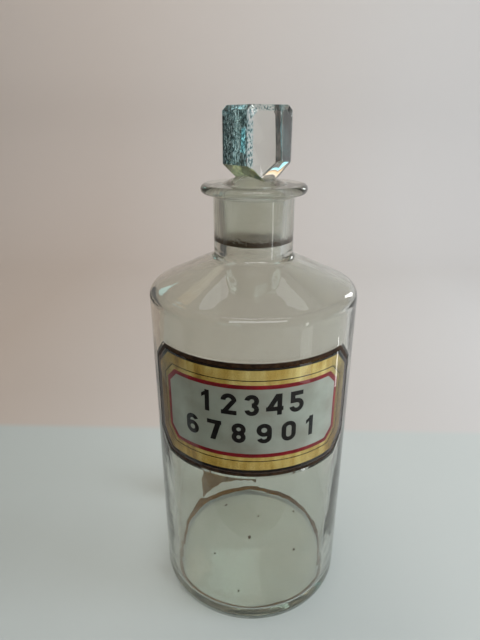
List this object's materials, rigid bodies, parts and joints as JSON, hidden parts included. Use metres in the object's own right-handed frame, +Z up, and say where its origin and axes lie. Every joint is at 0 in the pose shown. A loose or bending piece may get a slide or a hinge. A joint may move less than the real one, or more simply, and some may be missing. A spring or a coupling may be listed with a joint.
{
  "type": "reagent bottle",
  "caption": "Round glass chemist's bottle with a sloping shoulder, a short neck with a rolled lip, a ground stopper with a cut slab head, and a gilt-edged label under curved glass.",
  "frame": {"origin": "centre of the foot, on the surface that the bottle stands on", "axes": "+Z up along the bottle's axis through the neck; -Y points out of the middle of the label; +X to the right as the label is read"},
  "size_m": [0.082, 0.0822, 0.2067],
  "materials": {
    "bottle_glass": "blown, clear with a faint grey-green tint",
    "stopper_glass": "cut and polished head, ground frosted plug",
    "label_cover_glass": "thin curved glass, polished",
    "gold_leaf": "gold leaf behind glass, bright with fine crinkles",
    "black_paint": "black paint behind glass",
    "red_paint": "dark red paint behind glass",
    "ground_paint": "aged grey-green paint behind glass",
    "brown_cement": "dried brown cement",
    "old_paper": "browned, torn paper"
  },
  "bodies": {
    "bottle": {"bottle": "bottle_glass", "label_cement": "brown_cement", "label_glass": "label_cover_glass", "label_outline": "black_paint", "gold_leaf_outer": "gold_leaf", "gold_leaf_inner": "gold_leaf", "label_hairline": "black_paint", "red_line": "red_paint", "label_ground": "ground_paint", "label_numerals": "black_paint", "paper_remnant": "old_paper"},
    "stopper": {"stopper": "stopper_glass"}
  },
  "joints": [
    {"name": "stopper_lift", "type": "slide", "parent": "bottle", "child": "stopper", "axis": [0, 0, 1], "range_m": [0, 0.06]}
  ]
}
